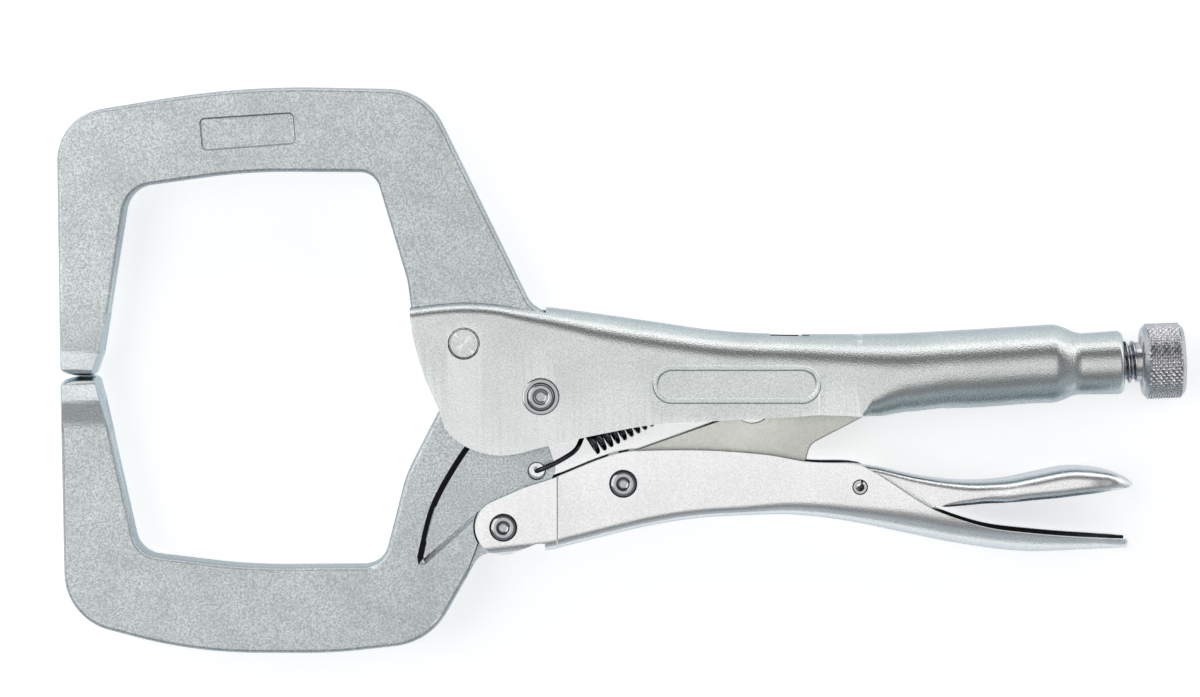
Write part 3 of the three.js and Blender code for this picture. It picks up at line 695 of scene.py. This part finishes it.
def lower_handle():
    places = spread([-18, 3.9, 4.0, 4.1, 4.25, 4.7, 9, 58, 80, 100, 120, 136, 142, 145.5, 146.4], 2.2)
    edge = smooth([(-4.2, -22.9), (4.2, -20.15), (13.4, -16.4), (19.7, -14.4), (26, -13.75), (41.4, -13.7),
                   (56.2, -14.8), (67, -16.6), (77.7, -17.0), (83.3, -19.2), (93.8, -26.0), (98.6, -28.6),
                   (106, -31.3), (113, -33.1), (122.4, -34.2), (132.1, -35.0), (148, -35.9)], 150)
    angles = [math.radians(-56 - 189 * k / 48) for k in range(49)]
    ear = [Vector((FRONT.x + EAR_RADIUS * math.cos(a), FRONT.y + EAR_RADIUS * math.sin(a))) for a in angles]
    side = edge + [Vector((148, -50)), Vector((WEB_FRONT_X, -50))]
    side += smooth([(WEB_FRONT_X, -36.9), (-1.2, -37.0), (-3.6, -38.0)], 8) + ear
    made = loft("lower_handle_shell", palm_sections(places, 0, WALL_TOP))
    meet(made, plate("walls", side, THROUGH))
    hollow = spread([-20, 3.9, 4.7, 9, 58, 80, 100, 120, 136, 142, 144.4], 2.6)
    cut(made, loft("palm_hollow", palm_sections(hollow, SHEET, 0)),
        block("ear_gap", (-30, -60, SHEET - EAR_HALF), (WEB_FRONT_X, 0, EAR_HALF - SHEET)),
        block("tail_mouth", (140, -37, -2 * SHEET), (150, -30, 2 * SHEET)),
        drill("front_hole", FRONT, RIVET_HOLE), drill("link_hole", LINK, RIVET_HOLE),
        drill("release_hole", RELEASE, PIN_HOLE))
    finished(made, PLATED, "lower_handle", ["lower_handle"])
    inside = walled_in(made)
    # Painted shade inside the channel and on its floor's rounded corners.
    paint_shade_on(made, PAINTED_SHADE, lambda face: inside(face) or in_floor_corner(face))


# ---- toggle link and release lever ----
def toggle_link():
    nose, radius = Vector((82.5, 1.2)), 5
    top = nose.y + radius
    points = outline([
        (13.9, -17.2, 5), (49, -4.7, 2), (74, top, 8), (nose.x, top, 0), (84.9, -3.2, 0), (67.3, -12.3, 4),
        (65.5, -18.8, 2), (42, -24.6, 30), (21, -28.3, 6), (13.9, -27.6, 5),
    ][::-1])
    half, edge = LINK_HALF - LINK_SLIM, 0.35
    made = rounded_plate("toggle_link_plate", points, half, edge)
    add(made, turned("nose", both_ends([(radius, half - edge), (radius - edge, half)]), nose.x, nose.y))
    cut(made, drill("window", Vector((52.8, -2.2)), 5.0), drill("link_hole", LINK, RIVET_HOLE))
    finished(made, STAMPED, "toggle_link", ["toggle_link"])


LEVER_TOP = smooth([(66, -19.4), (74, -17.3), (82.7, -17.9), (94.7, -20.4), (106, -21.6), (115.7, -21.1),
                    (123, -19.7), (132, -18.1), (140, -18.7), (145.7, -20.5), (147.7, -22.0)], 100)
LEVER_WIDTH = [(66, 3.1), (84, 3.8), (92, 4.3), (100, 4.9), (108, 5.8), (124, 8.2), (136, 8.2), (143, 7.0),
               (146.6, 4.8), (147.7, 3.4)]
LEVER_CROWN = [(66, 1.6), (84, 1.6), (100, 2.4), (116, 3.2), (136, 3.2), (147.7, 1.2)]
LEVER_FOOT = [(66, 0.1), (97, 0.2), (105, 1.8), (116, 2.7), (136, 2.7), (143, 1.8), (147.7, 0.8)]
LEVER_EDGE = smooth([(101.4, -27.9), (115.7, -26.65), (127.7, -25.65), (139.7, -24.15), (147.9, -22.6)], 30)


def lever_sections(places, skin, lips=False):
    """The folded lever, whose sides curl in underneath; with lips, the opening left between them."""
    made = []
    for x in places:
        top, width, foot = along(LEVER_TOP, x), along(LEVER_WIDTH, x, True), along(LEVER_FOOT, x)
        crown = along(LEVER_CROWN, x)
        edge = along([(60, -30), (97, -29)] + [(p.x, p.y) for p in LEVER_EDGE], x, True)
        bottom = min(edge, top - crown - foot - 0.2)
        if lips:
            made.append((x, section(top - skin - 1, -45, width - max(skin, foot - 0.2), 0.2, 0.1)))
        else:
            made.append((x, section(top - skin, bottom + skin, width - skin, max(0.3, crown - skin),
                                    max(0.1, foot - skin))))
    return made


def release_lever():
    side = outline([(147.9, -10, 0), (66.8, -10, 0), (66.8, -24.4, 2), (76, -27.0, 3), (97, -28.2, 10)])
    side += LEVER_EDGE
    places = spread([66, 84, 97, 105, 116, 124, 136, 143, 146.6, 147.7], 2.0)
    made = loft("release_lever_shell", lever_sections(places, 0))
    meet(made, plate("lever_side", side, THROUGH))
    hollow = spread([64, 84, 97, 105, 116, 124, 136, 143, 144.4], 2.4)
    cut(made, loft("lever_hollow", lever_sections(hollow, LEVER_SHEET)),
        loft("lever_opening", lever_sections(hollow[:-1], LEVER_SHEET, True)),
        drill("release_hole", RELEASE, PIN_HOLE))
    finished(made, PLATED, "release_lever", ["release_lever"])
    # Painted shade on the lever's inner faces.
    paint_shade_on(made, PAINTED_SHADE, walled_in(made))


# ---- rivets and pin ----
# A head's profile is (radius, height over its seat), from the rim to the middle.
HEAD_PLAY = 0.15
FLUSH_SINK = 0.2
MAIN_HEAD = [(4.0, 0), (4.45, 0), (4.6, 0.2), (4.55, 0.5), (4.1, 0.72), (3.75, 0.6), (3.5, 0.62), (3.2, 0.95),
             (2.7, 1.15), (2.0, 1.15), (1.55, 0.85), (1.2, 0.62), (0.7, 0.62), (0.01, 0.78)]
SMALL_HEAD = [(2.6, 0), (3.4, 0), (3.5, 0.15), (3.42, 0.42), (3.05, 0.72), (2.5, 0.9), (1.95, 0.95),
              (1.6, 0.86), (1.35, 0.6), (0.8, 0.48), (0.01, 0.45)]
FLUSH_HEAD = [(3.85, -0.5), (3.6, -0.45), (3.58, -0.12), (3.4, 0), (3.1, 0), (1.5, 0), (0.01, 0)]


def in_groove(face):
    """Painted reflection: the steep turned rings of a rivet head are made near-black and dull, as if
    mirroring dark surroundings.
    """
    return 0.05 < abs(face.normal.z) < 0.8


def rivet(name, spot, head, face, segments):
    return turned(name, both_ends([(r, face + z) for r, z in head]), spot.x, spot.y, segments)


def rivets():
    piece = rivet("main_rivet", Vector(), MAIN_HEAD, HANDLE_HALF + HEAD_PLAY, 96)
    finished(piece, BRIGHT, "frame", ["main_pivot_rivet"], crease=50)
    # Painted dark reflection on the main rivet head's steep rings.
    paint_shade_on(piece, PAINTED_SHADE, in_groove)
    for name, spot, face, node in (("front_rivet_head", FRONT, EAR_HALF, "front_rivet"),
                                   ("link_rivet_head", LINK, WAIST_HALF, "link_rivet")):
        piece = rivet(name, spot, SMALL_HEAD, face + HEAD_PLAY, 80)
        finished(piece, BRIGHT, "lower_handle", [node], crease=50)
        # Painted dark reflection on the small rivet heads' steep rings.
        paint_shade_on(piece, PAINTED_SHADE, in_groove)
    piece = rivet("jaw_rivet", JAW_RIVET, FLUSH_HEAD, HANDLE_HALF - FLUSH_SINK, 80)
    finished(piece, PRESSED, "frame", ["fixed_jaw_rivet"], crease=28)


def release_pin():
    """A rolled spring pin: a tube with a slit along it."""
    outer, inner, half, slit, slit_at = 1.8, 0.95, 6.35, math.radians(24), math.radians(70)
    angles = [slit / 2 + (2 * math.pi - slit) * k / 40 + slit_at for k in range(41)]
    layers = []
    for z, outside, inside in ((-half, outer - 0.15, inner + 0.1), (-half + 0.2, outer, inner),
                               (half - 0.2, outer, inner), (half, outer - 0.15, inner + 0.1)):
        ring = [(outside, a) for a in angles] + [(inside, a) for a in reversed(angles)]
        layers.append([(RELEASE.x + r * math.cos(a), RELEASE.y + r * math.sin(a), z) for r, a in ring])
    made = rings("rolled_pin", layers)
    finished(made, PIN, "lower_handle", ["release_pin"])
    # Painted shade inside the pin's bore and slit.
    paint_shade_on(made, PAINTED_SHADE, walled_in(made, reach=3))


# ---- adjusting screw ----
def screw():
    """A helical thread with a tapered tip, and the plain neck that the knob sits on."""
    start, end, sides, steps = 94.8, 148.4, 40, 10
    core, thread, crest, flank, tip = 4.25, 1.13, 1.35, 3.4, 1.5
    count = round((end - start) / PITCH * steps)
    layers = []
    for i in range(count + 1):
        x = start + (end - start) * i / count
        phases = [(x / PITCH - k / sides) % 1 for k in range(sides)]
        heights = [min(1, max(0, crest - abs(phase - 0.5) * flank)) for phase in phases]
        taper = min(1, (x - start) / tip + 0.2)
        layers.append(screw_ring(x, [(core + thread * height) * taper for height in heights]))
    layers += [screw_ring(x, [radius] * sides) for radius, x in ((4.9, 148.45), (4.97, 148.6), (4.97, 149.9))]
    finished(rings("threaded_shank", layers), SCREW, "screw", ["adjusting_screw"], crease=40)


def knob():
    """The knob's diamond knurl is cut by two crossing sets of grooves."""
    start, end, radius, chamfer, depth = 150.2, 160.4, 9.46, 1.15, 0.5
    sides, rows, starts, lead, sharp, fade_in = 288, 56, 36, 46.0, 2.6, 0.35
    margin = chamfer * 0.75
    front = [(6.2, start + 0.25), (6.6, start), (radius - chamfer, start)]
    back = [(radius - chamfer, end), (5.5, end), (5.1, end - 0.3)]
    layers = [screw_ring(x, [r] * sides) for r, x in front]
    for i in range(rows + 1):
        x = start + margin + (end - start - 2 * margin) * i / rows
        from_end = min(x - start, end - x)
        edge = max(0, chamfer - from_end) if i in (0, rows) else 0
        fade = min(1, max(0, from_end - margin) / fade_in)
        radii = []
        for k in range(sides):
            one, two = ((starts * (k / sides + way * (x - start) / lead)) % 1 for way in (1, -1))
            groove = max(0, 1 - sharp * min(one, 1 - one), 1 - sharp * min(two, 1 - two))
            radii.append(radius - edge - depth * groove * fade)
        layers.append(screw_ring(x, radii))
    layers += [screw_ring(x, [r] * sides) for r, x in back]
    finished(rings("knurled_knob", layers), SCREW, "knob", ["screw_knob"], crease=28)


# ---- spring ----
def spring():
    """Close coils with a long hook in the moving jaw's hole; the far end stops short of the tongue."""
    wire, radius, first, last, pitch, steps = 0.62, 2.85, 14.7, 58.3, 1.9, 18
    ahead = (SPRING_ANCHOR - SPRING_HOLE).normalized()
    beside = Vector((-ahead.y, ahead.x, 0))
    up = Vector((0, 0, 1))
    side = RECESS_HALF + 0.3 + 2 * wire

    def at(s, across=0.0, z=0.0):
        return SPRING_HOLE + ahead * s + beside * across + up * z

    hook = [at(-0.2, 0.2, -1.8), at(0, 0, 0.55 * side), at(0.6, 0, 0.9 * side), at(2.4, -0.1, side),
            at(5.0, -0.2, side), at(7.8, -0.1, 0.95 * side), at(10.3, 0.15, 0.82 * side),
            at(11.9, 0.75, 0.66 * side), at(13.2, 1.75, 0.4 * side), at(14.1, 2.5, 0.16 * side)]
    flat = smooth([(p.x, p.y) for p in hook], 40)
    deep = smooth([(p.z, 0) for p in hook], 40)
    path = [Vector((p.x, p.y, q.x)) for p, q in zip(flat, deep)]
    count = round((last - first) / pitch) * steps
    for k in range(count + 1):
        s, angle = first + (last - first) * k / count, -2 * math.pi * k / steps
        path.append(at(s, radius * math.cos(angle), radius * math.sin(angle)))
    path += [at(last + 0.9, radius * 0.75, 0), at(last + 2.0, radius * 0.3, 0), at(last + 3.0, 0, 0)]
    made = tube("coil_spring", path, wire)
    finished(made, SPRING, "spring", ["jaw_spring"], crease=60)
    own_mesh(made)


fixed_jaw()
moving_jaw()
upper_handle()
lower_handle()
toggle_link()
release_lever()
rivets()
release_pin()
screw()
knob()
spring()

# ---- floor, light and camera, in metres ----
FLOOR_HALF = 3
FLOOR_DROP = 0.0004
FLOOR_GLOW = 0.5

floor_mesh = bpy.data.meshes.new("floor")
floor_mesh.from_pydata([(x * FLOOR_HALF, y * FLOOR_HALF, CAD_BOX[0].z - FLOOR_DROP)
                        for x, y in ((-1, -1), (1, -1), (1, 1), (-1, 1))], [], [(0, 1, 2, 3)])
floor = bpy.data.objects.new("floor", floor_mesh)
bpy.context.scene.collection.objects.link(floor)
pale = bpy.data.materials.new("floor_paint")
pale.use_nodes = True
paint = pale.node_tree.nodes["Principled BSDF"].inputs
paint["Base Color"].default_value = (0.93, 0.93, 0.93, 1)
paint["Roughness"].default_value = 0.8
paint["Emission Color"].default_value = (1, 1, 1, 1)
paint["Emission Strength"].default_value = FLOOR_GLOW
floor.data.materials.append(pale)


def studio():
    """Soft light from all round: bright overhead and in a low band on the +Y side, dim elsewhere."""
    world = bpy.data.worlds.new("studio")
    world.use_nodes = True
    nodes, links = world.node_tree.nodes, world.node_tree.links
    place = nodes.new("ShaderNodeTexCoord")
    split = nodes.new("ShaderNodeSeparateXYZ")
    links.new(place.outputs["Generated"], split.inputs[0])

    def bands(stops):
        made = nodes.new("ShaderNodeValToRGB")
        made.color_ramp.interpolation = "EASE"
        ramp = made.color_ramp.elements
        while len(ramp) < len(stops):
            ramp.new(0.5)
        for stop, (position, colour) in zip(ramp, stops):
            stop.position = position
            stop.color = (*colour, 1)
        links.new(split.outputs["Z"], made.inputs["Fac"])
        return made.outputs["Color"]

    above = (0.94, 0.95, 0.95)
    lit = bands([(0.0, (0.30, 0.33, 0.36)), (0.14, (1.7, 1.7, 1.7)), (0.42, (1.7, 1.7, 1.7)),
                 (0.57, (0.12, 0.12, 0.13)), (0.88, (0.18, 0.18, 0.19)), (0.955, above)])
    dim = bands([(0.0, (0.24, 0.28, 0.31)), (0.34, (0.46, 0.52, 0.57)), (0.60, (0.20, 0.21, 0.22)),
                 (0.84, (0.28, 0.29, 0.30)), (0.95, above)])
    side = nodes.new("ShaderNodeMapRange")
    side.interpolation_type = "SMOOTHSTEP"
    side.inputs["From Min"].default_value = -0.25
    side.inputs["From Max"].default_value = 0.35
    links.new(split.outputs["Y"], side.inputs["Value"])
    blend = nodes.new("ShaderNodeMix")
    blend.data_type = "RGBA"
    links.new(side.outputs["Result"], blend.inputs["Factor"])
    links.new(dim, blend.inputs[6])
    links.new(lit, blend.inputs[7])
    links.new(blend.outputs[2], nodes["Background"].inputs["Color"])
    nodes["Background"].inputs["Strength"].default_value = 1
    bpy.context.scene.world = world


def lamp(name, spot, aim, width, height, power):
    light = bpy.data.lights.new(name, "AREA")
    light.shape = "RECTANGLE"
    light.size, light.size_y, light.energy = width, height, power
    made = bpy.data.objects.new(name, light)
    made.location = spot
    made.rotation_mode = "QUATERNION"
    made.rotation_quaternion = (Vector(aim) - Vector(spot)).to_track_quat("-Z", "Y")
    bpy.context.scene.collection.objects.link(made)


studio()
lamp("soft_left", (-0.75, 0.15, 1.05), (0, 0, 0), 1.0, 0.7, 3)

TILT = math.radians(3.5)
AIM = Vector((-0.0055, 0.0055, PIVOT.z))
DISTANCE = 1.1
LENS = 132
SENSOR = 36
camera_data = bpy.data.cameras.new("camera")
camera_data.lens = LENS
camera_data.sensor_width = SENSOR
camera = bpy.data.objects.new("camera", camera_data)
camera.location = AIM + Vector((0, math.sin(TILT), math.cos(TILT))) * DISTANCE
camera.rotation_euler = (-TILT, 0, 0)
bpy.context.scene.collection.objects.link(camera)
bpy.context.scene.camera = camera
bpy.context.scene.view_settings.view_transform = "Standard"
